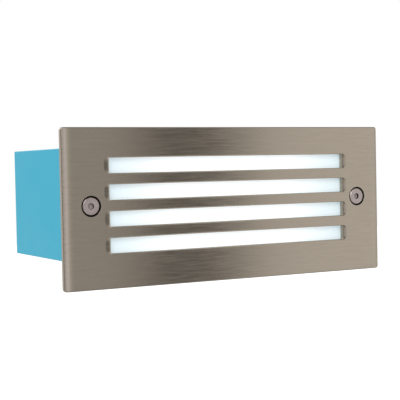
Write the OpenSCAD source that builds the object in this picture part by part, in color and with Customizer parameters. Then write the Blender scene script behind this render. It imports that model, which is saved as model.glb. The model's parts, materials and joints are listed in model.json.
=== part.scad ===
// Recessed step light: a slotted steel face, the lit tray and driver behind it,
// and the box that is built into the wall.
// Seen from the front, +X is right, +Y goes into the wall and +Z is up.
// The origin is the middle of the faceplate, on the plane of the wall.

/* [Faceplate] */
// Width of the faceplate
plate_w = 262; // [259:1:300]
// Height of the faceplate
plate_h = 110; // [106:1:140]
// Depth from the front of the face to the wall
plate_depth = 4.6; // [4.2:0.1:5.6]
// Thickness of the face itself
face_t = 3.2; // [2.8:0.1:3.6]
// Corner radius of the outline
plate_corner_r = 2; // [1:0.1:4]
// Width of the soft roll along the left and right edges
roll_w = 8; // [4:0.1:9]
// How far the roll falls back at the edge
roll_drop = 1; // [0.4:0.1:2]
// Radius of the top and bottom front edges
edge_r = 0.8; // [0.3:0.1:1.6]
// Width of the rim that stands on the wall
rim_w = 2.4; // [1.5:0.1:3]

/* [Light slots] */
// Number of slots
slot_count = 4; // [3:1:5]
// Height of the bars between the slots
slot_bar = 7.75; // [5:0.05:10]
// Plain face above the top slot
border_top = 20.7; // [19:0.1:26]
// Plain face below the bottom slot
border_bottom = 24.2; // [24:0.1:30]
// Distance from the ends of the slots to the ends of the lit tray
slot_margin = 3.5; // [2:0.1:8]
// Corner radius of a slot
slot_r = 1; // [0.5:0.1:2.4]

/* [Face screws] */
// Distance from the ends of the faceplate to the face screws
screw_inset = 20.3; // [18:0.1:26]
// Diameter of the thread
screw_d = 6; // [5:0.5:7]
// Length of a face screw, head included
screw_len = 30; // [25:0.5:36]
// Diameter of the head
head_d = 12; // [10:0.1:12.4]
// Width across the flats of the socket
socket_af = 4; // [3:0.5:5]
// Depth of the socket
socket_depth = 2.5; // [1.5:0.1:3]
// Gap between the head and the round recess that it lies in
head_gap = 1.1; // [0.7:0.1:1.6]
// Depth of that recess
head_recess_depth = 1.1; // [0.9:0.1:1.6]
// Thickness of the retaining washer on each screw
retainer_t = 1; // [0.6:0.1:1.6]
// Outer diameter of the retaining washer
retainer_d = 11; // [9:0.1:12]

/* [Recess box] */
// How far the faceplate laps over each end of the box
lap_side = 5; // [4:0.1:8]
// How far the faceplate laps over the top of the box
lap_top = 13.8; // [12:0.1:17]
// How far the faceplate laps over the bottom of the box
lap_bottom = 19.4; // [17:0.1:22]
// Depth of the recess box behind the plane of the wall
box_depth = 105; // [88:1:140]
// Wall thickness of the recess box
box_wall = 2.2; // [1.6:0.1:2.4]
// Outer radius of its long edges
box_corner_r = 0.8; // [0.5:0.1:4]
// Wall thickness of the two screw bosses in the box
boss_wall = 1.6; // [1.2:0.1:2.4]
// Distance from the ends of the box to the fixing holes in its back
fixing_inset = 76; // [70:1:100]
// Diameter of the fixing holes
fixing_d = 4.6; // [3:0.1:6]
// Distance from the ends of the box to the cable entries
entry_inset = 50; // [46:1:56]
// Diameter of the holes for the cable entries
entry_d = 20; // [16:0.5:24]
// Diameter of the supply cable that the grommet and the gland hold
cable_d = 8; // [6:0.5:9]

/* [Diffuser] */
// Thickness of the frosted sheet
diffuser_t = 3; // [2:0.1:4]
// Thickness of the seal between the faceplate and the sheet
seal_t = 0.6; // [0.4:0.1:1]

/* [Lamp housing] */
// Gap between the lamp housing and the screw pads of the faceplate
pan_gap = 1.7; // [1.2:0.1:4]
// Depth of the lamp housing
pan_depth = 24; // [18:1:30]
// Wall thickness of the lamp housing
pan_wall = 1.4; // [1:0.1:1.5]
// Floor thickness of the lamp housing
pan_floor = 2; // [1.6:0.1:3]
// Distance from the ends of the lamp housing out to its studs
stud_out = 12; // [10:0.5:14]
// Distance from the top and bottom of the lamp housing in to its studs
stud_in = 8.2; // [6.5:0.1:10]
// Thickness of the four housing ears
ear_t = 2; // [1.4:0.1:3]

/* [Light engine] */
// Number of lights along each row
led_columns = 12; // [6:2:12]
// Plain ends of the light board beyond the last lights
led_margin = 8.6; // [7.5:0.1:12]
// Thickness of the light board
board_t = 1.6; // [1:0.1:2]
// Thickness of the thermal pad under it
pad_t = 0.5; // [0.3:0.1:1]

/* [Driver] */
// Height of the driver case
driver_h = 36; // [32:1:46]
// Depth of the driver case
driver_depth = 24; // [20:1:30]
// Room between the driver case and the end of the gear cover
driver_room = 18.2; // [18:0.1:24]

/* [Terminal block] */
// Wall between a pole and the fixing screw next to it
pole_wall = 0.8; // [0.6:0.1:1.6]
// Room between the terminal block and the driver case
wiring_room = 31; // [30:0.5:40]
// Room between the terminal block and the end of the gear cover
terminal_room = 8; // [4:0.5:20]
// Width of the terminal block
terminal_w = 20; // [18:1:22]
// Depth of the terminal block
terminal_depth = 14; // [13:0.5:18]

/* [Gear cover] */
// How far the gear cover stands in from the ends of the lamp housing
cover_inset_w = 8; // [8:0.1:10]
// How far it stands in from the top and bottom of the lamp housing
cover_inset_h = 4.2; // [3:0.1:8]
// Depth of the gear cover
cover_depth = 38; // [34:1:46]
// Wall thickness of the gear cover
cover_wall = 1.8; // [1.2:0.1:2]
// Thickness of the seal under the gear cover
cover_seal_t = 1; // [0.6:0.1:2]

/* [Hidden] */
$fn = 64;

// Overrun of every cut
over = 1;
// Gap between curved faces of pieces that move apart, and of a bolt in a plain hole
loose_gap = 0.3;
// Gap between a thread, a pin or a neck and its hole
thread_gap = 0.05;
// Gap all round pieces that drop into a pocket
drop_gap = 0.3;
// Gap between the lamp housing and the inside of the recess box
unit_gap = 0.4;
// Skin left under a blind hole
skin_t = 0.4;

// Face: the plane of the back of the face, and the radius of the rolled edges
pocket_y = face_t - plate_depth;
roll_r = (roll_w * roll_w + roll_drop * roll_drop) / (2 * roll_drop);
pocket_w = plate_w - 2 * rim_w;
pocket_h = plate_h - 2 * rim_w;
// Corner radius of the pocket behind the face
pocket_r = 1.2;
// Slots: pitch and height of each, and the height of the pattern above the middle of the faceplate
slot_pitch = (plate_h - border_top - border_bottom + slot_bar) / slot_count;
slot_h = slot_pitch - slot_bar;
pattern_up = (border_bottom - border_top) / 2;
// Pad behind the face round each screw
screw_pad_d = 17;
screw_x = plate_w / 2 - screw_inset;

// Face screws: how far the head lies under the face, and the land and chamfer of its rim
head_sink = 0.3;
head_land = 0.3;
head_chamfer = 0.25;
// Chamfer of the screw's tip
tip_chamfer = 0.8;
head_y = head_sink - plate_depth;
cone_y = head_y + head_chamfer + head_land;
shank_y = cone_y + (head_d - screw_d) / 2;
tip_y = head_y + screw_len;
head_recess_d = head_d + 2 * head_gap;
seat_y = head_recess_depth - plate_depth;
seat_r = head_d / 2 - (seat_y - cone_y) + loose_gap * sqrt(2);
screw_hole_r = screw_d / 2 + loose_gap;

// Insert in each boss: its length, wall and the groove round its middle
insert_len = 10;
insert_wall = 1.5;
insert_d = screw_d + 2 * insert_wall;
insert_groove_w = 1.6;
insert_groove_depth = 0.5;
insert_y = tip_y - insert_len;
retainer_y = insert_y - retainer_t - loose_gap;
// Counterbore for the retaining washer, the free depth past the screw's tip, and the boss's web
counterbore_gap = 0.9;
counterbore_d = retainer_d + 2 * counterbore_gap;
pilot_depth = 2;
boss_end_t = 2.3;
boss_d = counterbore_d + 2 * boss_wall;
boss_len = tip_y + pilot_depth + boss_end_t;
web_t = 8;

// Recess box: outside, height of its middle above that of the faceplate, and inside
box_w = plate_w - 2 * lap_side;
box_h = plate_h - lap_top - lap_bottom;
box_up = (lap_bottom - lap_top) / 2;
fixing_x = box_w / 2 - fixing_inset;
entry_x = box_w / 2 - entry_inset;
inner_w = box_w - 2 * box_wall;
inner_h = box_h - 2 * box_wall;
inner_r = 1;
back_y = box_depth - box_wall;
// Cable entries: flange width and thickness, and the plug's spigot and snap bead
entry_flange_w = 3;
entry_flange_t = 2;
plug_wall = 1.6;
plug_depth = 4;
plug_bead = 0.5;
plug_bead_len = 1.6;

// Diffuser, its seal and the lamp housing share one outline
pan_y = pocket_y + seal_t + diffuser_t;
pan_w = 2 * (screw_x - pan_gap) - screw_pad_d;
slot_len = pan_w - 2 * slot_margin;
pan_h = inner_h - 2 * unit_gap;
pan_r = 3;
pan_in_w = pan_w - 2 * pan_wall;
pan_in_h = pan_h - 2 * pan_wall;
pan_in_r = pan_r - pan_wall;
pan_back = pan_y + pan_depth;
pan_floor_y = pan_back - pan_floor;
// Studs of the faceplate, with the ears, washers and nuts on them
stud_x = pan_w / 2 + stud_out;
stud_up = pan_h / 2 - stud_in;
stud_d = 4;
stud_pad_d = 8;
stud_proud = 1.2;
ear_d = 12;
washer_t = 0.8;
washer_d = 9;
nut_af = 7;
nut_t = 3.2;
washer_y = pan_y + ear_t;
nut_y = washer_y + washer_t;
stud_end = nut_y + nut_t + stud_proud;

// Stands on the back of the lamp housing that carry the driver, terminals and cover
stand_h = 3;
stand_d = 7.4;
stand_y = pan_back + stand_h;

// Light board, its pad and the lights, one row behind each slot
board_edge = 4.6;
board_edge_h = 1.8;
board_r = 1;
pad_y = pan_floor_y - pad_t;
board_y = pad_y - board_t;
board_w = pan_in_w - 2 * board_edge;
board_h = pan_in_h - 2 * board_edge_h;
led_pitch = (board_w - 2 * led_margin) / led_columns;
led_w = 2.8;
led_h = 3.5;
led_t = 0.7;
// Board screws stand half a pitch outside the last lights, and between the rows
board_screw_x = led_pitch * led_columns / 2;
// Small screws: thread, head and cross recess
m3_d = 3;
m3_head_d = 5.6;
m3_head_t = 1.8;
cross_w = 0.7;
cross_len = 3.2;
cross_depth = 1;
// Reflector tray: wall, and the gap round what stands through its base
reflector_t = 0.8;
window_gap = 0.5;

// Leads between the driver and the light board
lead_r = 0.8;
lead_bend = 2.4;
lead_apart = 2.4;
lead_hole_d = 6;
lead_hole_x = -board_screw_x;
// Grommet of that hole: bore, and the lip behind the floor
wire_bore_d = 4.4;
wire_lip_d = 7.6;
wire_lip_t = 1;
wire_bead_d = 6.8;
pad_hole_d = 7.6;
// Connector on the light board
connector_w = 4;
connector_h = 5.4;
connector_t = 3.6;
connector_off = 5.6;
connector_x = lead_hole_x - connector_off;
connector_y = board_y - connector_t;
lead_y = board_y - connector_t / 2;
// How far a lead reaches into a connector or through the driver's wall
lead_in = 1.4;

// Gear cover: outline, and the planes of its rim, its back and the inside of its back
cover_w = pan_w - 2 * cover_inset_w;
cover_h = pan_h - 2 * cover_inset_h;
cover_y = pan_back + cover_seal_t;
cover_back = cover_y + cover_depth;
cover_in_y = cover_back - cover_wall;
cover_end = cover_w / 2 - cover_wall;

// Driver and terminal block fill the length of the gear cover
terminal_x = cover_end - terminal_room - terminal_w / 2;
driver_left = driver_room - cover_end;
driver_right = terminal_x - terminal_w / 2 - wiring_room;
driver_len = driver_right - driver_left;
driver_x = (driver_left + driver_right) / 2;

// Driver: walls, ears, posts and lid
driver_wall = 1.6;
driver_r = 2;
driver_ear_out = 4.5;
driver_ear_t = 2.2;
driver_ear_d = 8;
driver_top = stand_y + driver_depth;
post_d = 4;
post_h = 3;
post_in = 7;
circuit_t = 1.6;
circuit_y = stand_y + driver_wall + post_h;
circuit_top = circuit_y + circuit_t;
circuit_w = driver_len - 2 * driver_wall - 2 * drop_gap;
circuit_h = driver_h - 2 * driver_wall - 2 * drop_gap;
lid_t = 1.6;
lid_lip_t = 1.2;
lid_lip_h = 1.4;
// Transformer: core, and the coil that stands out of it
core_w = 18;
core_h = 20;
core_t = 12;
coil_w = 11;
coil_h = 25;
coil_t = 9;
// Capacitors: two round ones and two flat ones
cap_d = 10;
cap_len = 12;
cap_groove = 0.5;
small_cap_d = 6.4;
small_cap_len = 9;
film_w = 5;
film_h = 12;
film_t = 9;
// Free length between the parts on the driver's board, which stand evenly spaced
part_gap = (circuit_w - film_w - cap_d - core_w - small_cap_d) / 5;
film_x = driver_x - circuit_w / 2 + part_gap + film_w / 2;
cap_x = film_x + (film_w + cap_d) / 2 + part_gap;
core_x = cap_x + (cap_d + core_w) / 2 + part_gap;
small_cap_x = core_x + (core_w + small_cap_d) / 2 + part_gap;

// Terminal block: live, earth and neutral poles, clamp tubes along X, screws from behind
pole_count = 3;
terminal_margin = 5.5;
terminal_r = 1;
terminal_top = stand_y + terminal_depth;
tube_d = 6;
tube_in = 1;
tube_bore_d = 3;
tube_up = 6;
tube_y = stand_y + tube_up;
tube_len = terminal_w - 2 * tube_in;
clamp_d = 2.6;
clamp_head_d = 3.8;
clamp_head_t = 1.4;
clamp_sink = 1.2;
clamp_x = tube_len / 4;
m2_d = 2.4;
pole_pitch = tube_d + m2_d + 2 * pole_wall;
terminal_h = pole_pitch * (pole_count - 1) + 2 * terminal_margin;
m2_head_d = 4.2;
m2_head_t = 1.2;
slot_cut_w = 0.6;
slot_cut_depth = 0.6;

// Mains wires: radius, bend and places of their risers, and the earth tag
core_r = 1.1;
core_bend = 3;
earth_bend = 2;
riser_out = 3;
riser_up = 15;
earth_out = 8;
tag_out = 10;
tag_in = 7.2;
wire_in = 5;
riser_x = terminal_x - terminal_w / 2 - riser_out;
riser_y = stand_y + riser_up;
earth_riser_x = terminal_x - terminal_w / 2 - earth_out;
tag_x = earth_riser_x - tag_out;
tag_z = box_up + cover_wall + tag_in - cover_h / 2;
tag_t = 0.8;
tag_d = 8;
tag_reach = 4.6;
tag_neck_w = 3;
tag_barrel_d = 3.2;
tag_barrel_len = 3;
tag_wire_up = 1.9;
tag_wire_y = stand_y + tag_wire_up;
tag_barrel_x = tag_x + tag_reach;
m4_d = 4;
m4_head_d = 7.4;
m4_head_t = 2.6;

// Gear cover: corners, ears and the strip of seal under its rim
cover_r = 4;
cover_in_r = cover_r - cover_wall;
cover_strip_w = 2.4;
cover_ear_out = stand_d / 2 + loose_gap;
cover_ear_in = 11;
cover_ear_d = 8;
cover_ear_t = 2.4;
cover_ear_x = cover_w / 2 + cover_ear_out;
cover_ear_up = cover_h / 2 - cover_ear_in;

// Cable gland on the back of the gear cover
gland_d = 16;
gland_af = 20;
gland_hex_t = 4;
gland_collar_len = 8;
gland_spigot_len = 7;
gland_bore_d = 10;
gland_seat_t = 2;
gland_seal_d = 12.6;
gland_cap_d = 20;
gland_cap_len = 12;
gland_cap_end = 1.4;
gland_cap_taper = 2;
gland_cap_gap = 0.8;
gland_grip_len = 7;
gland_mouth_d = 10.6;
locknut_af = 22;
locknut_t = 5;
gland_hex_y = cover_back + gland_hex_t;
gland_collar_y = gland_hex_y + gland_collar_len;
gland_cap_y = gland_hex_y + gland_cap_gap;
gland_end = gland_cap_y + gland_cap_len;

// Tables of places
sides = [-1, 1];
slot_ups = [for (i = [0 : slot_count - 1]) pattern_up + (i - (slot_count - 1) / 2) * slot_pitch];
led_xs = [for (i = [0 : led_columns - 1]) (i - (led_columns - 1) / 2) * led_pitch];
board_screw_xs = [-board_screw_x, 0, board_screw_x];
pole_ups = [for (i = [0 : pole_count - 1]) box_up + (i - (pole_count - 1) / 2) * pole_pitch];
fixing_ups = [for (i = [0 : pole_count - 2]) (pole_ups[i] + pole_ups[i + 1]) / 2];
stud_places = [for (sx = sides, sz = sides) [sx * stud_x, box_up + sz * stud_up]];
cover_ears = [for (sx = sides, sz = sides) [sx * cover_ear_x, box_up + sz * cover_ear_up]];
driver_ears = [for (sx = sides) [driver_x + sx * (driver_len / 2 + driver_ear_out), box_up]];
terminal_fixings = [for (z = fixing_ups) [terminal_x, z]];
board_screw_places = [for (x = board_screw_xs, sz = sides) [x, pattern_up + sz * slot_pitch]];
lead_ups = [for (s = sides) pattern_up + s * lead_apart / 2];

// A flat shape drawn in X and Z, as deep as the two planes are apart
module slab(from, to) {
    translate([0, to, 0]) rotate([90, 0, 0]) linear_extrude(to - from) children();
}

// A round bar along Y between two planes
module rod(from, to, d) {
    translate([0, to, 0]) rotate([90, 0, 0]) cylinder(h = to - from, d = d);
}

// A shape turned about Y from a list of radius and Y
module turned(profile) {
    rotate([-90, 0, 0]) rotate_extrude() polygon(profile);
}

module at(x, z) {
    translate([x, 0, z]) children();
}

module at_each(places) {
    for (p = places) at(p[0], p[1]) children();
}

module rounded(w, h, r) {
    square([w - 2 * r, h], center = true);
    square([w, h - 2 * r], center = true);
    for (sx = sides, sz = sides) translate([sx * (w / 2 - r), sz * (h / 2 - r)]) circle(r);
}

module hexagon(across_flats) {
    circle(d = across_flats / cos(30), $fn = 6);
}

// A cross recess cut into a head whose top is at the plane from, facing -Y or +Y
module cross_cut(from, facing) {
    for (turn = [0, 90])
        rotate([0, turn, 0])
            slab(facing < 0 ? from - over : from - cross_depth, facing < 0 ? from + cross_depth : from + over)
                square([cross_len, cross_w], center = true);
}

// Screw with a flat round head on the plane seat; the head stands towards facing
module pan_screw(seat, tip, d, head_dia, head_t, facing) {
    head_end = seat + facing * head_t;
    difference() {
        union() {
            rod(min(seat, head_end), max(seat, head_end), head_dia);
            rod(min(seat, tip), max(seat, tip), d);
        }
        cross_cut(head_end, facing);
    }
}

// A round wire along a path that turns square corners with one bend radius
module wire(path, r, bend) {
    last = len(path) - 1;
    for (i = [0 : last - 1]) {
        way = (path[i + 1] - path[i]) / norm(path[i + 1] - path[i]);
        start = i == 0 ? path[i] : path[i] + way * bend;
        end = i == last - 1 ? path[i + 1] : path[i + 1] - way * bend;
        side = [way.z, way.x, way.y];
        placed(side, cross(way, side), way, start) cylinder(h = norm(end - start), r = r);
    }
    for (i = [1 : last - 1]) {
        came = (path[i] - path[i - 1]) / norm(path[i] - path[i - 1]);
        goes = (path[i + 1] - path[i]) / norm(path[i + 1] - path[i]);
        middle = path[i] + (goes - came) * bend;
        placed(-goes, came, cross(-goes, came), middle)
            rotate_extrude(angle = 90) translate([bend, 0]) circle(r);
    }
}

// Children drawn on the axes x, y and z, with their origin at p
module placed(x, y, z, p) {
    multmatrix([[x[0], y[0], z[0], p[0]], [x[1], y[1], z[1], p[1]], [x[2], y[2], z[2], p[2]]]) children();
}

// Section of the face across its width, with the soft roll at both ends
module rolled_section() {
    flat_w = plate_w - 2 * roll_w;
    translate([-flat_w / 2, -plate_depth]) square([flat_w, plate_depth + over]);
    for (side = sides)
        intersection() {
            translate([side * flat_w / 2, roll_r - plate_depth]) circle(roll_r);
            translate([side * (flat_w + roll_w + over) / 2, (over - plate_depth) / 2])
                square([roll_w + over, plate_depth + over], center = true);
        }
}

// Section of the face from top to bottom, with both front edges rounded
module edged_section() {
    translate([edge_r - plate_depth, -plate_h / 2]) square([plate_depth + over - edge_r, plate_h]);
    translate([-plate_depth, edge_r - plate_h / 2]) square([plate_depth, plate_h - 2 * edge_r]);
    for (side = sides)
        translate([edge_r - plate_depth, side * (plate_h / 2 - edge_r)]) circle(edge_r);
}

module plate_blank() {
    intersection() {
        slab(-plate_depth, 0) rounded(plate_w, plate_h, plate_corner_r);
        translate([0, 0, -plate_h / 2 - over]) linear_extrude(plate_h + 2 * over) rolled_section();
        translate([-plate_w / 2 - over, 0, 0])
            rotate([90, 0, 90]) linear_extrude(plate_w + 2 * over) edged_section();
    }
}

module faceplate() color("#8f8578") difference() {
    union() {
        difference() {
            plate_blank();
            slab(pocket_y, over) rounded(pocket_w, pocket_h, pocket_r);
        }
        for (side = sides) at(side * screw_x, pattern_up) rod(pocket_y - face_t / 2, -loose_gap, screw_pad_d);
        at_each(stud_places) {
            rod(pocket_y - face_t / 2, pan_y, stud_pad_d);
            rod(pocket_y - face_t / 2, stud_end, stud_d);
        }
    }
    for (z = slot_ups) at(0, z) slab(-plate_depth - over, pocket_y + over) rounded(slot_len, slot_h, slot_r);
    for (side = sides) at(side * screw_x, pattern_up) turned([
        [0, -plate_depth - over],
        [head_recess_d / 2, -plate_depth - over],
        [head_recess_d / 2, seat_y],
        [seat_r, seat_y],
        [screw_hole_r, seat_y + seat_r - screw_hole_r],
        [screw_hole_r, over],
        [0, over]
    ]);
}

module face_screw() color("#a5968f") difference() {
    turned([
        [0, head_y],
        [head_d / 2 - head_chamfer, head_y],
        [head_d / 2, head_y + head_chamfer],
        [head_d / 2, cone_y],
        [screw_d / 2, shank_y],
        [screw_d / 2, tip_y - tip_chamfer],
        [screw_d / 2 - tip_chamfer, tip_y],
        [0, tip_y]
    ]);
    slab(head_y - over, head_y + socket_depth) hexagon(socket_af);
}

module retaining_washer() color("#3a3d40") difference() {
    rod(retainer_y, retainer_y + retainer_t, retainer_d);
    rod(retainer_y - over, retainer_y + retainer_t + over, screw_d + 2 * thread_gap);
}

module left_face_screw() { at(-screw_x, pattern_up) face_screw(); }
module right_face_screw() { at(screw_x, pattern_up) face_screw(); }
module left_retaining_washer() { at(-screw_x, pattern_up) retaining_washer(); }
module right_retaining_washer() { at(screw_x, pattern_up) retaining_washer(); }

module recess_box() color("#52b1cb") {
    web_w = inner_w / 2 + box_wall / 2 - screw_x;
    difference() {
        union() {
            at(0, box_up) difference() {
                slab(0, box_depth) rounded(box_w, box_h, box_corner_r);
                slab(-over, back_y) rounded(inner_w, inner_h, inner_r);
            }
            for (side = sides) {
                at(side * screw_x, pattern_up) rod(0, boss_len, boss_d);
                at(side * (screw_x + web_w / 2), pattern_up) slab(0, boss_len) square([web_w, web_t], center = true);
            }
        }
        for (side = sides) {
            at(side * screw_x, pattern_up) turned([
                [0, -over],
                [counterbore_d / 2, -over],
                [counterbore_d / 2, insert_y],
                [insert_d / 2 + thread_gap, insert_y],
                [insert_d / 2 + thread_gap, tip_y],
                [screw_hole_r, tip_y],
                [screw_hole_r, tip_y + pilot_depth],
                [0, tip_y + pilot_depth]
            ]);
            at(side * entry_x, box_up) rod(back_y - over, box_depth + over, entry_d);
            at(side * fixing_x, box_up) rod(back_y - over, box_depth + over, fixing_d);
        }
    }
}

module thread_inserts() color("#b08d4a")
    for (side = sides) at(side * screw_x, pattern_up) turned([
        [screw_d / 2 + thread_gap, insert_y],
        [insert_d / 2, insert_y],
        [insert_d / 2, insert_y + (insert_len - insert_groove_w) / 2],
        [insert_d / 2 - insert_groove_depth, insert_y + (insert_len - insert_groove_w) / 2],
        [insert_d / 2 - insert_groove_depth, insert_y + (insert_len + insert_groove_w) / 2],
        [insert_d / 2, insert_y + (insert_len + insert_groove_w) / 2],
        [insert_d / 2, tip_y],
        [screw_d / 2 + thread_gap, tip_y]
    ]);

module cable_grommet() color("#2b2c2e") at(entry_x, box_up) {
    neck_r = entry_d / 2 - thread_gap;
    flange_r = entry_d / 2 + entry_flange_w;
    turned([
        [cable_d / 2, back_y - entry_flange_t],
        [flange_r, back_y - entry_flange_t],
        [flange_r, back_y],
        [neck_r, back_y],
        [neck_r, box_depth],
        [flange_r, box_depth],
        [flange_r, box_depth + entry_flange_t],
        [cable_d / 2, box_depth + entry_flange_t]
    ]);
}

module blanking_plug() color("#3f8fa6") at(-entry_x, box_up) {
    neck_r = entry_d / 2 - thread_gap;
    turned([
        [0, box_depth],
        [neck_r - plug_wall, box_depth],
        [neck_r - plug_wall, back_y - plug_depth],
        [neck_r, back_y - plug_depth],
        [neck_r, back_y - plug_bead_len],
        [neck_r + plug_bead, back_y - plug_bead_len / 2],
        [neck_r, back_y],
        [neck_r, box_depth],
        [entry_d / 2 + entry_flange_w, box_depth],
        [entry_d / 2 + entry_flange_w, box_depth + entry_flange_t],
        [0, box_depth + entry_flange_t]
    ]);
}

module wall_gasket() color("#26282a") slab(pocket_y, 0) difference() {
    rounded(pocket_w - 2 * drop_gap, pocket_h - 2 * drop_gap, pocket_r);
    translate([0, box_up]) rounded(inner_w, inner_h, inner_r);
}

module diffuser_seal() color("#d9dcdc") at(0, box_up) slab(pocket_y, pocket_y + seal_t) difference() {
    rounded(pan_w, pan_h, pan_r);
    rounded(pan_in_w, pan_in_h, pan_in_r);
}

module diffuser() color("#f2fbff") at(0, box_up) slab(pocket_y + seal_t, pan_y) rounded(pan_w, pan_h, pan_r);

// Stands behind the floor of the housing, each with its place, thread and blind hole
module stand_holes(places, d) {
    at_each(places) rod(pan_floor_y + skin_t, stand_y + over, d + 2 * thread_gap);
}

module lamp_housing() color("#b9bcbe") {
    ear_root = pan_w / 2 - pan_wall / 2;
    difference() {
        union() {
            at(0, box_up) difference() {
                slab(pan_y, pan_back) rounded(pan_w, pan_h, pan_r);
                slab(pan_y - over, pan_floor_y) rounded(pan_in_w, pan_in_h, pan_in_r);
            }
            at_each(stud_places) slab(pan_y, pan_y + ear_t) circle(d = ear_d);
            for (p = stud_places)
                at(sign(p[0]) * (ear_root + stud_x) / 2, p[1])
                    slab(pan_y, pan_y + ear_t) square([stud_x - ear_root, ear_d], center = true);
            at_each(concat(driver_ears, terminal_fixings, cover_ears, [[tag_x, tag_z]]))
                rod(pan_back - pan_floor / 2, stand_y, stand_d);
        }
        at_each(stud_places) rod(pan_y - over, pan_y + ear_t + over, stud_d + 2 * loose_gap);
        stand_holes(concat(driver_ears, cover_ears), m3_d);
        stand_holes(terminal_fixings, m2_d);
        stand_holes([[tag_x, tag_z]], m4_d);
        at_each(board_screw_places) rod(pan_floor_y - over, pan_back - skin_t, m3_d + 2 * thread_gap);
        at(lead_hole_x, pattern_up) rod(pan_floor_y - over, pan_back + over, lead_hole_d);
    }
}

module housing_washers() color("#c9ccce") at_each(stud_places) difference() {
    rod(washer_y, nut_y, washer_d);
    rod(washer_y - over, nut_y + over, stud_d + 2 * loose_gap);
}

module housing_nuts() color("#c9ccce") at_each(stud_places) difference() {
    slab(nut_y, nut_y + nut_t) hexagon(nut_af);
    rod(nut_y - over, nut_y + nut_t + over, stud_d + 2 * thread_gap);
}

// White tray on the light board, with a window for each light and screw, and one for the connector
module reflector() color("#f4f4f0") {
    out_w = pan_in_w - 2 * drop_gap;
    out_h = pan_in_h - 2 * drop_gap;
    window_left = connector_x - connector_w / 2 - window_gap;
    window_right = lead_hole_x + lead_hole_d / 2 + window_gap;
    difference() {
        at(0, box_up) slab(pan_y + drop_gap, board_y) rounded(out_w, out_h, pan_in_r);
        at(0, box_up) slab(pan_y - over, board_y - reflector_t)
            rounded(out_w - 2 * reflector_t, out_h - 2 * reflector_t, pan_in_r - reflector_t);
        for (x = led_xs, z = slot_ups) at(x, z) slab(board_y - reflector_t - over, board_y + over)
            square([led_w + 2 * window_gap, led_h + 2 * window_gap], center = true);
        at_each(board_screw_places)
            rod(board_y - reflector_t - over, board_y + over, m3_head_d + 2 * window_gap);
        at((window_left + window_right) / 2, pattern_up) slab(board_y - reflector_t - over, board_y + over)
            square([window_right - window_left, lead_hole_d + 2 * window_gap], center = true);
    }
}

// Outline of the light board with its holes, as wide at the lead hole as hole_d
module board_outline(hole_d) {
    difference() {
        translate([0, box_up]) rounded(board_w, board_h, board_r);
        for (p = board_screw_places) translate(p) circle(d = m3_d + 2 * loose_gap);
        translate([lead_hole_x, pattern_up]) circle(d = hole_d);
    }
}

module thermal_pad() color("#8b8f96") slab(pad_y, pan_floor_y) board_outline(pad_hole_d);

module led_board() color("#eef0ea") slab(board_y, pad_y) board_outline(lead_hole_d);

module led_chips() color("#f1e6a2")
    for (x = led_xs, z = slot_ups) at(x, z) slab(board_y - led_t, board_y) square([led_w, led_h], center = true);

module board_connector() color("#f6f3e6") difference() {
    at(connector_x, pattern_up) slab(connector_y, board_y) square([connector_w, connector_h], center = true);
    for (z = lead_ups)
        translate([connector_x + connector_w / 2 - lead_in, lead_y, z])
            rotate([0, 90, 0]) cylinder(h = lead_in + over, r = lead_r + thread_gap);
}

module board_screws() color("#9da1a5")
    at_each(board_screw_places)
        pan_screw(board_y, pan_back - skin_t - loose_gap, m3_d, m3_head_d, m3_head_t, -1);

module wire_grommet() color("#2b2c2e") at(lead_hole_x, pattern_up) turned([
    [wire_bore_d / 2, pad_y],
    [wire_bead_d / 2, pad_y],
    [wire_bead_d / 2, pan_floor_y],
    [lead_hole_d / 2 - thread_gap, pan_floor_y],
    [lead_hole_d / 2 - thread_gap, pan_back],
    [wire_lip_d / 2, pan_back],
    [wire_lip_d / 2, pan_back + wire_lip_t],
    [wire_bore_d / 2, pan_back + wire_lip_t]
]);

module board_lead(z) {
    wire([
        [driver_left + driver_wall + lead_in, riser_y, z],
        [lead_hole_x, riser_y, z],
        [lead_hole_x, lead_y, z],
        [connector_x + connector_w / 2 - lead_in, lead_y, z]
    ], lead_r, lead_bend);
}

module led_positive_wire() color("#b3261e") board_lead(lead_ups[1]);
module led_negative_wire() color("#1f2022") board_lead(lead_ups[0]);

// A round hole through one end wall of the driver case
module driver_wall_hole(x, z, r) {
    translate([x - driver_wall, riser_y, z]) rotate([0, 90, 0]) cylinder(h = 2 * driver_wall, r = r);
}

module driver_case() color("#f0efe9") difference() {
    union() {
        at(driver_x, box_up) difference() {
            slab(stand_y, driver_top) rounded(driver_len, driver_h, driver_r);
            slab(stand_y + driver_wall, driver_top + over)
                rounded(driver_len - 2 * driver_wall, driver_h - 2 * driver_wall, driver_r - driver_wall / 2);
        }
        at_each(driver_ears) rod(stand_y, stand_y + driver_ear_t, driver_ear_d);
        for (side = sides)
            at(driver_x + side * (driver_len + driver_ear_out - driver_wall / 2) / 2, box_up)
                slab(stand_y, stand_y + driver_ear_t)
                    square([driver_ear_out + driver_wall / 2, driver_ear_d], center = true);
        for (sx = sides, sz = sides)
            at(driver_x + sx * (driver_len / 2 - post_in), box_up + sz * (driver_h / 2 - post_in))
                rod(stand_y + driver_wall / 2, circuit_y, post_d);
    }
    at_each(driver_ears) rod(stand_y - over, stand_y + driver_ear_t + over, m3_d + 2 * loose_gap);
    for (z = lead_ups) driver_wall_hole(driver_left + driver_wall / 2, z, lead_r + thread_gap);
    for (z = [pole_ups[0], pole_ups[pole_count - 1]])
        driver_wall_hole(driver_right - driver_wall / 2, z, core_r + thread_gap);
}

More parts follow.
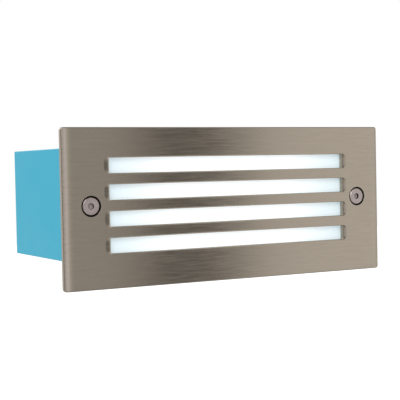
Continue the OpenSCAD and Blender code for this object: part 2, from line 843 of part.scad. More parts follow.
module driver_lid() color("#e4e3dc") at(driver_x, box_up) {
    lip_w = driver_len - 2 * driver_wall - 2 * drop_gap;
    lip_h = driver_h - 2 * driver_wall - 2 * drop_gap;
    slab(driver_top, driver_top + lid_t) rounded(driver_len, driver_h, driver_r);
    slab(driver_top - lid_lip_h, driver_top + lid_t / 2) difference() {
        rounded(lip_w, lip_h, driver_r - driver_wall / 2);
        square([lip_w - 2 * lid_lip_t, lip_h - 2 * lid_lip_t], center = true);
    }
}

module driver_board() color("#2f6b45") at(driver_x, box_up)
    slab(circuit_y, circuit_top) rounded(circuit_w, circuit_h, driver_r - driver_wall / 2);

module driver_transformer() color("#4a4d52") at(core_x, box_up) {
    slab(circuit_top, circuit_top + core_t) square([core_w, core_h], center = true);
    slab(circuit_top + (core_t - coil_t) / 2, circuit_top + (core_t + coil_t) / 2)
        square([coil_w, coil_h], center = true);
}

// Round capacitor on the driver's board, with the groove round its foot
module round_cap(d, length) {
    turned([
        [0, circuit_top],
        [d / 2, circuit_top],
        [d / 2, circuit_top + cap_groove],
        [d / 2 - cap_groove, circuit_top + 2 * cap_groove],
        [d / 2, circuit_top + 3 * cap_groove],
        [d / 2, circuit_top + length - cap_groove],
        [d / 2 - cap_groove, circuit_top + length],
        [0, circuit_top + length]
    ]);
}

module driver_capacitors() color("#3b3f78") {
    at(cap_x, box_up) round_cap(cap_d, cap_len);
    at(small_cap_x, box_up) round_cap(small_cap_d, small_cap_len);
    for (side = sides)
        at(film_x, box_up + side * circuit_h / 4)
            slab(circuit_top, circuit_top + film_t) square([film_w, film_h], center = true);
}

module driver_screws() color("#9da1a5")
    at_each(driver_ears)
        pan_screw(stand_y + driver_ear_t, pan_floor_y + skin_t + loose_gap, m3_d, m3_head_d, m3_head_t, 1);

module terminal_body() color("#e9e7dd") difference() {
    at(terminal_x, box_up) slab(stand_y, terminal_top) rounded(terminal_w, terminal_h, terminal_r);
    for (z = pole_ups) {
        translate([terminal_x - terminal_w / 2 - over, tube_y, z])
            rotate([0, 90, 0]) cylinder(h = terminal_w + 2 * over, d = tube_d + 2 * thread_gap);
        for (side = sides)
            at(terminal_x + side * clamp_x, z) rod(tube_y, terminal_top + over, clamp_head_d + 2 * loose_gap);
    }
    at_each(terminal_fixings) rod(stand_y - over, terminal_top + over, m2_d + 2 * thread_gap);
}

module terminal_clamps() color("#c2a255") for (z = pole_ups) difference() {
    translate([terminal_x - tube_len / 2, tube_y, z]) rotate([0, 90, 0]) cylinder(h = tube_len, d = tube_d);
    translate([terminal_x - tube_len / 2 - over, tube_y, z])
        rotate([0, 90, 0]) cylinder(h = tube_len + 2 * over, d = tube_bore_d);
    for (side = sides)
        at(terminal_x + side * clamp_x, z) rod(tube_y, tube_y + tube_d, clamp_d + 2 * thread_gap);
}

// Slotted screw that stands towards +Y
module slotted_screw(seat, tip, d, head_dia, head_t) {
    difference() {
        union() {
            rod(seat, seat + head_t, head_dia);
            rod(tip, seat, d);
        }
        slab(seat + head_t - slot_cut_depth, seat + head_t + over)
            square([head_dia + over, slot_cut_w], center = true);
    }
}

module terminal_screws() color("#b7babc")
    for (z = pole_ups, side = sides)
        at(terminal_x + side * clamp_x, z)
            slotted_screw(terminal_top - clamp_sink - clamp_head_t, tube_y + tube_bore_d / 2,
                clamp_d, clamp_head_d, clamp_head_t);

module terminal_fixing_screws() color("#9da1a5")
    at_each(terminal_fixings)
        slotted_screw(terminal_top, pan_floor_y + skin_t + loose_gap, m2_d, m2_head_d, m2_head_t);

module mains_lead(z) {
    wire([
        [terminal_x - tube_len / 2 + wire_in, tube_y, z],
        [riser_x, tube_y, z],
        [riser_x, riser_y, z],
        [driver_right - driver_wall - lead_in, riser_y, z]
    ], core_r, core_bend);
}

module live_wire() color("#6b3f24") mains_lead(pole_ups[pole_count - 1]);
module neutral_wire() color("#2a5ea8") mains_lead(pole_ups[0]);

module earth_wire() color("#5f9a3c") wire([
    [terminal_x - tube_len / 2 + wire_in, tube_y, box_up],
    [earth_riser_x, tube_y, box_up],
    [earth_riser_x, tube_y, tag_z],
    [earth_riser_x, tag_wire_y, tag_z],
    [tag_barrel_x + lead_in, tag_wire_y, tag_z]
], core_r, earth_bend);

module earth_tag() color("#d3d5d6") difference() {
    union() {
        at(tag_x, tag_z) rod(stand_y, stand_y + tag_t, tag_d);
        at((tag_x + tag_barrel_x + tag_barrel_len / 2) / 2, tag_z) slab(stand_y, stand_y + tag_t)
            square([tag_barrel_x + tag_barrel_len / 2 - tag_x, tag_neck_w], center = true);
        translate([tag_barrel_x, tag_wire_y, tag_z])
            rotate([0, 90, 0]) cylinder(h = tag_barrel_len, d = tag_barrel_d);
    }
    at(tag_x, tag_z) rod(stand_y - over, stand_y + tag_t + over, m4_d + 2 * thread_gap);
    translate([tag_barrel_x - over, tag_wire_y, tag_z])
        rotate([0, 90, 0]) cylinder(h = tag_barrel_len + 2 * over, r = core_r + thread_gap);
}

module earth_screw() color("#3f9a4d") at(tag_x, tag_z)
    pan_screw(stand_y + tag_t, pan_floor_y + skin_t + loose_gap, m4_d, m4_head_d, m4_head_t, 1);

module gear_cover() color("#3a3d40") difference() {
    union() {
        at(0, box_up) difference() {
            slab(cover_y, cover_back) rounded(cover_w, cover_h, cover_r);
            slab(cover_y - over, cover_in_y)
                rounded(cover_w - 2 * cover_wall, cover_h - 2 * cover_wall, cover_in_r);
        }
        at_each(cover_ears) rod(stand_y, stand_y + cover_ear_t, cover_ear_d);
        for (p = cover_ears)
            at(p[0] - sign(p[0]) * (cover_ear_out + cover_wall / 2) / 2, p[1])
                slab(stand_y, stand_y + cover_ear_t)
                    square([cover_ear_out + cover_wall / 2, cover_ear_d], center = true);
    }
    at_each(cover_ears) rod(stand_y - over, stand_y + cover_ear_t + over, m3_d + 2 * loose_gap);
    at(entry_x, box_up) rod(cover_in_y - over, cover_back + over, gland_d + 2 * thread_gap);
}

module cover_seal() color("#26282a") at(0, box_up) slab(pan_back, cover_y) difference() {
    rounded(cover_w, cover_h, cover_r);
    rounded(cover_w - 2 * cover_strip_w, cover_h - 2 * cover_strip_w, cover_r - cover_strip_w);
}

module cover_screws() color("#9da1a5")
    at_each(cover_ears)
        pan_screw(stand_y + cover_ear_t, pan_floor_y + skin_t + loose_gap, m3_d, m3_head_d, m3_head_t, 1);

module gland_body() color("#2f3133") at(entry_x, box_up) difference() {
    union() {
        slab(cover_back, gland_hex_y) hexagon(gland_af);
        rod(cover_in_y - gland_spigot_len, gland_collar_y, gland_d);
    }
    rod(cover_in_y - gland_spigot_len - over, gland_collar_y + over, gland_bore_d);
    rod(cover_back + gland_seat_t, gland_collar_y + over, gland_seal_d + 2 * thread_gap);
}

module gland_locknut() color("#2f3133") at(entry_x, box_up) difference() {
    slab(cover_in_y - locknut_t, cover_in_y) hexagon(locknut_af);
    rod(cover_in_y - locknut_t - over, cover_in_y + over, gland_d + 2 * thread_gap);
}

module gland_seal() color("#55585a") at(entry_x, box_up) difference() {
    rod(cover_back + gland_seat_t, gland_end - gland_cap_end, gland_seal_d);
    rod(cover_back, gland_end, cable_d);
}

module gland_cap() color("#2f3133") at(entry_x, box_up) difference() {
    union() {
        slab(gland_cap_y, gland_cap_y + gland_grip_len) hexagon(gland_cap_d);
        turned([
            [0, gland_cap_y],
            [gland_cap_d / 2, gland_cap_y],
            [gland_cap_d / 2, gland_end - gland_cap_taper],
            [gland_cap_d / 2 - gland_cap_taper, gland_end],
            [0, gland_end]
        ]);
    }
    rod(gland_cap_y - over, gland_end - gland_cap_end, gland_d + 2 * thread_gap);
    rod(gland_cap_y - over, gland_end + over, gland_mouth_d);
}

recess_box();
thread_inserts();
cable_grommet();
blanking_plug();
faceplate();
wall_gasket();
diffuser_seal();
diffuser();
lamp_housing();
housing_washers();
housing_nuts();
reflector();
thermal_pad();
led_board();
led_chips();
board_connector();
board_screws();
wire_grommet();
led_positive_wire();
led_negative_wire();
driver_case();
driver_lid();
driver_board();
driver_transformer();
driver_capacitors();
driver_screws();
terminal_body();
terminal_clamps();
terminal_screws();
terminal_fixing_screws();
live_wire();
neutral_wire();
earth_wire();
earth_tag();
earth_screw();
gear_cover();
cover_seal();
cover_screws();
gland_body();
gland_locknut();
gland_seal();
gland_cap();
left_retaining_washer();
left_face_screw();
right_retaining_washer();
right_face_screw();
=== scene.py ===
import json
import math

import bmesh
import bpy
from mathutils import Matrix, Vector


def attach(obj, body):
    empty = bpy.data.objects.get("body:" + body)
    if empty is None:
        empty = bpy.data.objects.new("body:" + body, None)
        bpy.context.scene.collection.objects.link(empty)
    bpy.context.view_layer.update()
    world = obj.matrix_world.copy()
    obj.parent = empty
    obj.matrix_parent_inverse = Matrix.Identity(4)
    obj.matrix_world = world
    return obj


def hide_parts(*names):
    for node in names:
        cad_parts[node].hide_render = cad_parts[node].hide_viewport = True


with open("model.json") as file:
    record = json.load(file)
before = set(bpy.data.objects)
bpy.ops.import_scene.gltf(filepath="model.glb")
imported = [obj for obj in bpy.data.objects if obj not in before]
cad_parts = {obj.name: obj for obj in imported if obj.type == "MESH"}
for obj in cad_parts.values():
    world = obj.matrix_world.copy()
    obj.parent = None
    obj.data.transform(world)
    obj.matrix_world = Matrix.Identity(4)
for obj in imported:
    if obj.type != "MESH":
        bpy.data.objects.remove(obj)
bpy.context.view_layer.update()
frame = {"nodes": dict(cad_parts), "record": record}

# Looks of the step light. Sizes in the dictionaries are millimetres; the meshes are in metres.
mm = 0.001
scene = bpy.context.scene
print("frame loaded:", len(frame["nodes"]), "nodes")


def linear(code):
    # a web colour as the shader's linear colour
    parts = [int(code[i:i + 2], 16) / 255 for i in (0, 2, 4)]
    return tuple(p / 12.92 if p <= 0.04045 else ((p + 0.055) / 1.055) ** 2.4 for p in parts) + (1.0,)


def toned(colour, share):
    return tuple(min(1.0, c * share) for c in colour[:3]) + (1.0,)


def addNode(tree, kind, settings=None, inputs=None):
    # inputs hold plain values or the output sockets that feed them
    node = tree.nodes.new(kind)
    for name, value in (settings or {}).items():
        setattr(node, name, value)
    for name, value in (inputs or {}).items():
        if isinstance(value, bpy.types.NodeSocket):
            tree.links.new(value, node.inputs[name])
        else:
            node.inputs[name].default_value = value
    return node


def calc(tree, operation, *values):
    node = addNode(tree, "ShaderNodeMath", {"operation": operation})
    for i, value in enumerate(values):
        if isinstance(value, bpy.types.NodeSocket):
            tree.links.new(value, node.inputs[i])
        else:
            node.inputs[i].default_value = value
    return node.outputs[0]


def blendColours(tree, factor, first, second):
    # sockets 6 and 7 of the Mix node take the colours, and its third output gives one
    return addNode(tree, "ShaderNodeMix", {"data_type": "RGBA"}, {0: factor, 6: first, 7: second}).outputs[2]


def remap(tree, value, fromLow, fromHigh, low, high):
    node = addNode(tree, "ShaderNodeMapRange", None,
                   {"Value": value, "From Min": fromLow, "From Max": fromHigh, "To Min": low, "To Max": high})
    return node.outputs[0]


def fromNoise(tree, noise, low, high):
    # most of a noise lies between 0.3 and 0.7
    return remap(tree, noise, 0.3, 0.7, low, high)


def newGroup(name, inputs, outputs):
    tree = bpy.data.node_groups.new(name, "ShaderNodeTree")
    for label, kind, value in inputs:
        socket = tree.interface.new_socket(name=label, in_out="INPUT", socket_type=kind)
        if value is not None:
            socket.default_value = value
    for label, kind in outputs:
        tree.interface.new_socket(name=label, in_out="OUTPUT", socket_type=kind)
    return tree, tree.nodes.new("NodeGroupInput"), tree.nodes.new("NodeGroupOutput")


def stretched(tree, vector, scale):
    return addNode(tree, "ShaderNodeVectorMath", {"operation": "MULTIPLY"}, {0: vector, 1: scale}).outputs[0]


# Brushed grain: streaks that run along X, with a broad and a hairline share
brushing = {
    "Streaks": {"stretch": (45, 900, 900), "detail": 3.0, "roughness": 0.6},
    "Hairs": {"stretch": (110, 3200, 3200), "detail": 2.0, "roughness": 0.7},
}


def makeBrushedGrain(shares):
    tree, given, out = newGroup("brushedGrain", [("Vector", "NodeSocketVector", None)],
                                [(label, "NodeSocketFloat") for label in shares])
    for label, share in shares.items():
        along = stretched(tree, given.outputs[0], share["stretch"])
        noise = addNode(tree, "ShaderNodeTexNoise", None,
                        {"Vector": along, "Scale": 1.0, "Detail": share["detail"],
                         "Roughness": share["roughness"]})
        tree.links.new(noise.outputs[0], out.inputs[label])
    return tree


# Moulded or cast skin: slow tone changes, and fine pits of a given size
def makeSkin():
    tree, given, out = newGroup("surfaceSkin",
                                [("Vector", "NodeSocketVector", None), ("Cloud Scale", "NodeSocketFloat", 30.0),
                                 ("Grain Scale", "NodeSocketFloat", 2500.0)],
                                [("Cloud", "NodeSocketFloat"), ("Grain", "NodeSocketFloat")])
    cloud = addNode(tree, "ShaderNodeTexNoise", None,
                    {"Vector": given.outputs[0], "Scale": given.outputs[1], "Detail": 4.0, "Roughness": 0.55})
    grain = addNode(tree, "ShaderNodeTexNoise", None,
                    {"Vector": given.outputs[0], "Scale": given.outputs[2], "Detail": 2.0, "Roughness": 0.5})
    tree.links.new(cloud.outputs[0], out.inputs["Cloud"])
    tree.links.new(grain.outputs[0], out.inputs["Grain"])
    return tree


brushedGrain = makeBrushedGrain(brushing)
surfaceSkin = makeSkin()


def newMaterial(name):
    material = bpy.data.materials.new(name)
    material.use_nodes = True
    tree = material.node_tree
    shader = tree.nodes["Principled BSDF"]
    place = tree.nodes.new("ShaderNodeTexCoord").outputs["Object"]
    centre = addNode(tree, "ShaderNodeMapping", None, {"Vector": place})
    return material, tree, shader, centre.outputs[0]


def useSkin(tree, vector, cloudScale, grainScale):
    return addNode(tree, "ShaderNodeGroup", {"node_tree": surfaceSkin},
                   {"Vector": vector, "Cloud Scale": cloudScale, "Grain Scale": grainScale})


def addBump(tree, shader, height, strength, depth):
    bump = addNode(tree, "ShaderNodeBump", None,
                   {"Strength": strength, "Distance": depth * mm, "Height": height})
    tree.links.new(bump.outputs[0], shader.inputs["Normal"])


# what a finish has unless its own row says otherwise
plainFinish = {
    "spread": 0.05, "glossSpread": 0.05, "cloudScale": 30.0, "grainScale": 2500.0,
    "bump": 0.3, "grainDepth": 0.04, "metallic": 0.0, "specular": 0.5, "coat": 0.0,
    "softness": 0.0, "softDepth": 2,
}


def finishMaterial(name, row):
    # every plain finish: a toned colour, an uneven gloss and a fine grain
    look = {**plainFinish, **row}
    material, tree, shader, vector = newMaterial(name)
    if "stretch" in look:
        vector = stretched(tree, vector, look["stretch"])
    skin = useSkin(tree, vector, look["cloudScale"], look["grainScale"])
    base = linear(look["colour"])
    spread = 2 * look["spread"]
    colour = blendColours(tree, skin.outputs["Cloud"], toned(base, 1 - spread), toned(base, 1 + spread))
    if "second" in look:
        bands = addNode(tree, "ShaderNodeTexWave", {"bands_direction": "DIAGONAL"},
                        {"Vector": vector, "Scale": look["bandScale"], "Distortion": 0.0})
        # the stripe takes two fifths of the width, with soft edges
        band = remap(tree, bands.outputs["Fac"], 0.6, 0.7, 0.0, 1.0)
        colour = blendColours(tree, band, colour, linear(look["second"]))
    tree.links.new(colour, shader.inputs["Base Color"])
    gloss = look["roughness"]
    rough = fromNoise(tree, skin.outputs["Cloud"], gloss - look["glossSpread"], gloss + look["glossSpread"])
    tree.links.new(rough, shader.inputs["Roughness"])
    addBump(tree, shader, skin.outputs["Grain"], look["bump"], look["grainDepth"])
    shader.inputs["Metallic"].default_value = look["metallic"]
    shader.inputs["Specular IOR Level"].default_value = look["specular"]
    shader.inputs["Coat Weight"].default_value = look["coat"]
    shader.inputs["Subsurface Weight"].default_value = look["softness"]
    shader.inputs["Subsurface Scale"].default_value = look["softDepth"] * mm
    return material


finishes = {
    "box_plastic": {"colour": "3aacc8", "roughness": 0.42, "specular": 0.15, "spread": 0.012,
                    "cloudScale": 14.0, "grainScale": 1800.0},
    "plug_plastic": {"colour": "4aa3bc", "roughness": 0.4, "spread": 0.02},
    "black_rubber": {"colour": "1d1e20", "roughness": 0.75, "specular": 0.3, "grainScale": 1500.0, "bump": 0.5},
    "grey_rubber": {"colour": "3d4042", "roughness": 0.7, "specular": 0.3, "grainScale": 1500.0, "bump": 0.5},
    "clear_silicone": {"colour": "ccd2d2", "roughness": 0.4, "softness": 0.3},
    "cast_housing": {"colour": "b4b7b9", "roughness": 0.46, "metallic": 1.0, "spread": 0.06,
                     "grainScale": 900.0, "bump": 0.6, "grainDepth": 0.1},
    "zinc_steel": {"colour": "c3c6c9", "roughness": 0.3, "metallic": 1.0, "spread": 0.06, "cloudScale": 200.0},
    "white_reflector": {"colour": "f0f0ec", "roughness": 0.35, "spread": 0.02},
    "grey_pad": {"colour": "80858c", "roughness": 0.8, "spread": 0.04},
    "white_board": {"colour": "ebede6", "roughness": 0.35, "spread": 0.02},
    "light_yellow": {"colour": "eee08c", "roughness": 0.3, "spread": 0.03, "softness": 0.3},
    "cream_plastic": {"colour": "e6e1d1", "roughness": 0.4, "spread": 0.02},
    "white_plastic": {"colour": "e8e6de", "roughness": 0.42, "spread": 0.02},
    "dark_plastic": {"colour": "2b2d30", "roughness": 0.5, "spread": 0.06, "grainScale": 1200.0, "bump": 0.6},
    "black_plastic": {"colour": "191a1c", "roughness": 0.5, "spread": 0.05},
    "green_board": {"colour": "215c38", "roughness": 0.3, "spread": 0.1, "cloudScale": 300.0, "coat": 0.3},
    "iron_core": {"colour": "3f4247", "roughness": 0.45, "spread": 0.12, "cloudScale": 1.0,
                  "stretch": (30, 2200, 30)},
    "blue_sleeve": {"colour": "2b2f6b", "roughness": 0.3, "spread": 0.05, "coat": 0.2},
    "brass": {"colour": "b8954f", "roughness": 0.28, "metallic": 1.0, "spread": 0.08, "cloudScale": 250.0},
    "tinned_copper": {"colour": "c8c8c4", "roughness": 0.3, "metallic": 1.0, "spread": 0.06,
                      "cloudScale": 250.0},
    "green_screw": {"colour": "348a45", "roughness": 0.35, "metallic": 0.7, "spread": 0.08,
                    "cloudScale": 250.0},
    "red_lead": {"colour": "a81e19", "roughness": 0.38, "spread": 0.04},
    "black_lead": {"colour": "17181a", "roughness": 0.38, "spread": 0.04},
    "brown_lead": {"colour": "5c3520", "roughness": 0.38, "spread": 0.04},
    "blue_lead": {"colour": "22559e", "roughness": 0.38, "spread": 0.04},
    "green_lead": {"colour": "3f8f2e", "roughness": 0.38, "spread": 0.04, "second": "e3cf3a",
                   "bandScale": 90.0},
}

# Brushed faceplate
brushedFace = {
    "colour": "b4a99a",      # the metal where it reflects plain white
    "streakColour": "a69b8d",
    "streakShare": 0.6,      # the rest of the grain is hairs
    "cloudShade": 0.85, "cloudShare": 0.12, "cloudScale": 22.0, "grainScale": 700.0,
    "roughness": 0.21, "roughBelow": 0.04, "roughAbove": 0.05, "edgeRough": 0.12,
    "anisotropy": 0.92,
    "bump": 0.25, "bumpDepth": 0.02,
    "paintedRimShade": "4d453a",  # painted shade on the rounded rims of the plate, its slots and the screw recesses
    "paintedGapShade": "171512",   # painted shade in the round recesses under the screw heads and down their holes
}


def makeBrushedFace(look):
    material, tree, shader, vector = newMaterial("brushed_face")
    grain = addNode(tree, "ShaderNodeGroup", {"node_tree": brushedGrain}, {"Vector": vector})
    skin = useSkin(tree, vector, look["cloudScale"], look["grainScale"])
    edge = addNode(tree, "ShaderNodeAttribute", {"attribute_name": "edge"}).outputs["Fac"]
    gap = addNode(tree, "ShaderNodeAttribute", {"attribute_name": "gap"}).outputs["Fac"]
    streaks = calc(tree, "ADD", calc(tree, "MULTIPLY", grain.outputs["Streaks"], look["streakShare"]),
                   calc(tree, "MULTIPLY", grain.outputs["Hairs"], 1 - look["streakShare"]))
    metal = linear(look["colour"])
    colour = blendColours(tree, fromNoise(tree, streaks, 0.0, 1.0), linear(look["streakColour"]), metal)
    cloud = fromNoise(tree, skin.outputs["Cloud"], 0.0, look["cloudShare"])
    colour = blendColours(tree, cloud, colour, toned(metal, look["cloudShade"]))
    # painted shade: the edge mark darkens the rounded rims and the recess lips
    colour = blendColours(tree, edge, colour, linear(look["paintedRimShade"]))
    # painted shade: the gap mark darkens the screw recesses and holes
    colour = blendColours(tree, gap, colour, linear(look["paintedGapShade"]))
    tree.links.new(colour, shader.inputs["Base Color"])
    gloss = look["roughness"]
    rough = calc(tree, "ADD", fromNoise(tree, streaks, gloss - look["roughBelow"], gloss + look["roughAbove"]),
                 calc(tree, "MULTIPLY", edge, look["edgeRough"]))
    tree.links.new(rough, shader.inputs["Roughness"])
    addBump(tree, shader, streaks, look["bump"], look["bumpDepth"])
    shader.inputs["Metallic"].default_value = 1.0
    shader.inputs["Anisotropic"].default_value = look["anisotropy"]
    tangent = addNode(tree, "ShaderNodeTangent", {"direction_type": "UV_MAP", "uv_map": "grain"})
    tree.links.new(tangent.outputs[0], shader.inputs["Tangent"])
    return material


# Frosted sheet, lit from behind: white in the middle, paler towards both ends
litSheet = {
    "white": "ffffff", "ends": "b2c5cc", "cloudColour": (0.75, 0.88, 0.93, 1), "cloudShare": 0.04,
    "glow": 0.62, "fadeFrom": 50, "fadeTo": 98,
    "plain": ("c0cace", "c8d1d4"),   # the sheet's own colour, unlit
    "cloudScale": 25.0, "grainScale": 3000.0, "roughFrom": 0.42, "roughTo": 0.5,
}


def makeLitSheet(look):
    material, tree, shader, vector = newMaterial("opal_sheet")
    skin = useSkin(tree, vector, look["cloudScale"], look["grainScale"])
    apart = addNode(tree, "ShaderNodeSeparateXYZ", None, {0: vector})
    away = calc(tree, "ABSOLUTE", apart.outputs[0])
    ends = remap(tree, away, look["fadeFrom"] * mm, look["fadeTo"] * mm, 0.0, 1.0)
    glow = blendColours(tree, ends, linear(look["white"]), linear(look["ends"]))
    cloud = fromNoise(tree, skin.outputs["Cloud"], 0.0, look["cloudShare"])
    glow = blendColours(tree, cloud, glow, look["cloudColour"])
    tree.links.new(glow, shader.inputs["Emission Color"])
    shader.inputs["Emission Strength"].default_value = look["glow"]
    plain = blendColours(tree, skin.outputs["Cloud"], *(linear(code) for code in look["plain"]))
    tree.links.new(plain, shader.inputs["Base Color"])
    rough = fromNoise(tree, skin.outputs["Grain"], look["roughFrom"], look["roughTo"])
    tree.links.new(rough, shader.inputs["Roughness"])
    return material


# Turned screws: rings about each screw's own axis
turnedScrew = {
    # the gap colour is painted shade on the socket's walls and under the head
    "colour": "cbbeba", "ringColour": "ada09c", "paintedGapShade": "1b1917", "ringScale": 2600.0,
    "cloudScale": 150.0, "grainScale": 2500.0, "roughness": 0.34, "roughBelow": 0.05, "roughAbove": 0.07,
    "dullness": 0.45, "dullMetal": 0.2,   # the socket's floor
    "bump": 0.35, "bumpDepth": 0.02,
}


def makeTurnedScrew(look, x, z):
    material, tree, shader, vector = newMaterial("stainless_screw")
    tree.nodes["Mapping"].inputs["Location"].default_value = (-x * mm, 0.0, -z * mm)
    skin = useSkin(tree, vector, look["cloudScale"], look["grainScale"])
    apart = addNode(tree, "ShaderNodeSeparateXYZ", None, {0: vector})
    radius = calc(tree, "SQRT", calc(tree, "ADD", calc(tree, "POWER", apart.outputs[0], 2.0),
                                     calc(tree, "POWER", apart.outputs[2], 2.0)))
    rings = addNode(tree, "ShaderNodeTexNoise", {"noise_dimensions": "1D"},
                    {"W": radius, "Scale": look["ringScale"], "Detail": 2.0}).outputs[0]
    colour = blendColours(tree, remap(tree, rings, 0.35, 0.65, 0.0, 1.0), linear(look["ringColour"]),
                          linear(look["colour"]))
    gap = addNode(tree, "ShaderNodeAttribute", {"attribute_name": "gap"}).outputs["Fac"]
    # painted shade on the socket's walls and under the head, by the gap mark
    colour = blendColours(tree, gap, colour, linear(look["paintedGapShade"]))
    tree.links.new(colour, shader.inputs["Base Color"])
    dull = addNode(tree, "ShaderNodeAttribute", {"attribute_name": "dull"}).outputs["Fac"]
    gloss = look["roughness"]
    rough = fromNoise(tree, skin.outputs["Cloud"], gloss - look["roughBelow"], gloss + look["roughAbove"])
    rough = calc(tree, "ADD", rough, calc(tree, "MULTIPLY", dull, look["dullness"]))
    tree.links.new(rough, shader.inputs["Roughness"])
    tree.links.new(remap(tree, dull, 0.0, 1.0, 1.0, look["dullMetal"]), shader.inputs["Metallic"])
    addBump(tree, shader, rings, look["bump"], look["bumpDepth"])
    return material


# the screws' axes, from the plate's middle
screwX = 110.7
screwZ = 1.75
materials = {slot: finishMaterial(slot, look) for slot, look in finishes.items()}
materials["brushed_face"] = makeBrushedFace(brushedFace)
materials["opal_sheet"] = makeLitSheet(litSheet)
materials["stainless_screw"] = makeTurnedScrew(turnedScrew, -screwX, screwZ)
rightScrewMaterial = makeTurnedScrew(turnedScrew, screwX, screwZ)
for part in frame["record"]["subparts"]:
    mesh = frame["nodes"][part["node"]].data
    mesh.materials.clear()
    mesh.materials.append(materials[part["material_slot"]])
print("materials made:", len(materials))


# How near points and planes count as one, in millimetres, and how flat or sharp an edge is, in degrees
limits = {
    "merge": 0.001, "nodeMerge": 0.002, "samePlane": 0.0001, "cut": 0.00001,
    "flat": 0.3, "sharp": 35.0, "softSharp": 40.0,
}


# Rings of edges that face the front; bridged in turn they make walls and rims.
# Each point carries three marks for the materials: edge (painted shade on rounded rims, also rougher), gap
# (painted shade in recesses and sockets) and dull (rougher and less metallic).
def newMesh():
    bm = bmesh.new()
    for mark in ("edge", "gap", "dull"):
        bm.verts.layers.float.new(mark)
    return bm


def markRing(bm, verts, edge, gap):
    for v in verts:
        v[bm.verts.layers.float["edge"]] = edge
        v[bm.verts.layers.float["gap"]] = gap


def facing(x, y, z):
    return Matrix.Translation(Vector((x, y, z)) * mm) @ Matrix.Rotation(math.pi / 2, 4, "X")


def ringRect(bm, width, height, radius, y, z=0.0, edge=0.0, steps=6):
    before = set(bm.faces)
    place = facing(0.0, y, z) @ Matrix.Diagonal((width * mm, height * mm, 1, 1))
    corners = bmesh.ops.create_grid(bm, x_segments=1, y_segments=1, size=0.5, matrix=place)["verts"]
    bmesh.ops.bevel(bm, geom=corners, offset=radius * mm, segments=steps, profile=0.5, affect="VERTICES",
                    material=-1)
    face = next(f for f in bm.faces if f not in before)
    markRing(bm, face.verts, edge, 0.0)
    edges = list(face.edges)
    bmesh.ops.delete(bm, geom=[face], context="FACES_ONLY")
    return edges


def ringRound(bm, diameter, y, x=0.0, z=0.0, edge=0.0, gap=0.0, steps=48):
    made = bmesh.ops.create_circle(bm, segments=steps, radius=diameter / 2 * mm, matrix=facing(x, y, z))
    markRing(bm, made["verts"], edge, gap)
    return list({e for v in made["verts"] for e in v.link_edges})


def fill(bm, *rings):
    bmesh.ops.triangle_fill(bm, use_beauty=True, edges=[e for ring in rings for e in ring])


def bridge(bm, *rings):
    for first, second in zip(rings, rings[1:]):
        levels = [v.co.y for e in first + second for v in e.verts]
        if max(levels) - min(levels) < limits["samePlane"] * mm:
            fill(bm, first, second)   # a bridge between rings in one plane can cross over
        else:
            bmesh.ops.bridge_loops(bm, edges=first + second)


def arc(count):
    # a quarter turn in even steps, for rounded edges
    return [math.pi / 2 * k / count for k in range(count + 1)]


threadRoot = 0.05   # how deep a thread's ridge is let into its core


def coil(bm, x, z, start, end, inner, outer, pitch, steps=24):
    # a ridge that climbs one pitch a turn, right-handed; its crest is a twelfth of the pitch wide
    section = [(inner, 0.0), (outer, 0.42 * pitch), (outer, 0.5 * pitch), (inner, 0.92 * pitch)]
    verts = [bm.verts.new(Vector((x + r, start + up, z)) * mm) for r, up in section]
    edges = [bm.edges.new((verts[i], verts[(i + 1) % len(verts)])) for i in range(len(verts))]
    turns = (end - start) / pitch - 1
    made = bmesh.ops.spin(bm, geom=verts + edges, cent=Vector((x, 0, z)) * mm, axis=(0, 1, 0),
                          angle=math.tau * turns, dvec=(0, pitch * mm / steps, 0), steps=round(turns * steps),
                          use_merge=False)
    last = [g for g in made["geom_last"] if isinstance(g, bmesh.types.BMVert)]
    bm.faces.new(verts)
    bmesh.ops.contextual_create(bm, geom=last)


def addPiece(bm, name, body, material, node):
    mesh = bpy.data.meshes.new(name)
    bm.to_mesh(mesh)
    bm.free()
    mesh.materials.append(material)
    piece = bpy.data.objects.new(name, mesh)
    scene.collection.objects.link(piece)
    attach(piece, body)
    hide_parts(node)
    return piece


def smoothFaces(bm, sharp):
    for f in bm.faces:
        f.smooth = True
    for e in bm.edges:
        e.smooth = len(e.link_faces) == 2 and e.calc_face_angle(0.0) < math.radians(sharp)


def evenShading(piece):
    piece.modifiers.new("Even shading", "WEIGHTED_NORMAL").keep_sharp = True


def finishPiece(bm, name, body, material, node, grainMap=False):
    bmesh.ops.remove_doubles(bm, verts=bm.verts, dist=limits["merge"] * mm)
    bmesh.ops.recalc_face_normals(bm, faces=bm.faces)
    smoothFaces(bm, limits["sharp"])
    if grainMap:
        layer = bm.loops.layers.uv.new("grain")
        for f in bm.faces:
            for loop in f.loops:
                x, y, z = loop.vert.co
                loop[layer].uv = (z + y, x + 0.3 * y)   # the first way runs across the grain
    evenShading(addPiece(bm, name, body, material, node))


